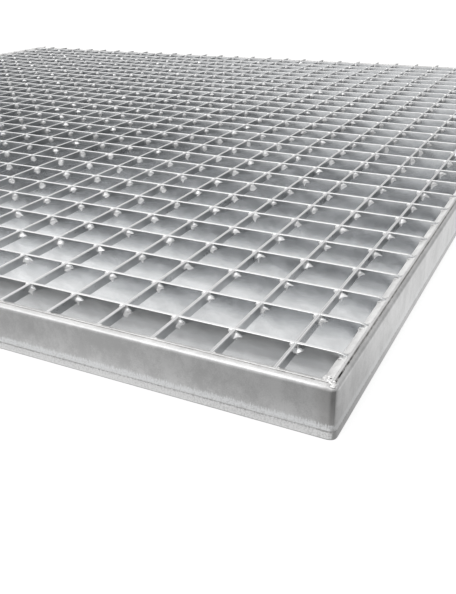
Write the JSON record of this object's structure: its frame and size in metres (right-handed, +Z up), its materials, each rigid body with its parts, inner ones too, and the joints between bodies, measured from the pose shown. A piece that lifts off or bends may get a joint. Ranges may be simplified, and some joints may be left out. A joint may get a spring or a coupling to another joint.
{
  "type": "steel grating panel",
  "caption": "Flat square panel of galvanised pressed steel grating: deep bearing bars, shallow cross bars flush on top, and a rolled edge band with a flared foot and a slotted inner lip.",
  "frame": {"origin": "middle of the panel, on the plane of the edge band's underside", "axes": "+Z up out of the walking surface; +X along the bearing bars; +Y along the cross bars, away from the front edge"},
  "size_m": [1, 1, 0.027],
  "materials": {
    "band_zinc": "hot-dip galvanised rolled sheet, satin, faint vertical streaks and cloudy patches, bright lumpy zinc at the corner",
    "bar_zinc": "hot-dip galvanised flat bar, satin, bright rounded top edges, zinc runs at the crossings"
  },
  "bodies": {
    "root": {"edge_band": "band_zinc", "front_mesh": "bar_zinc", "middle_mesh": "bar_zinc", "back_mesh": "bar_zinc"}
  },
  "joints": []
}
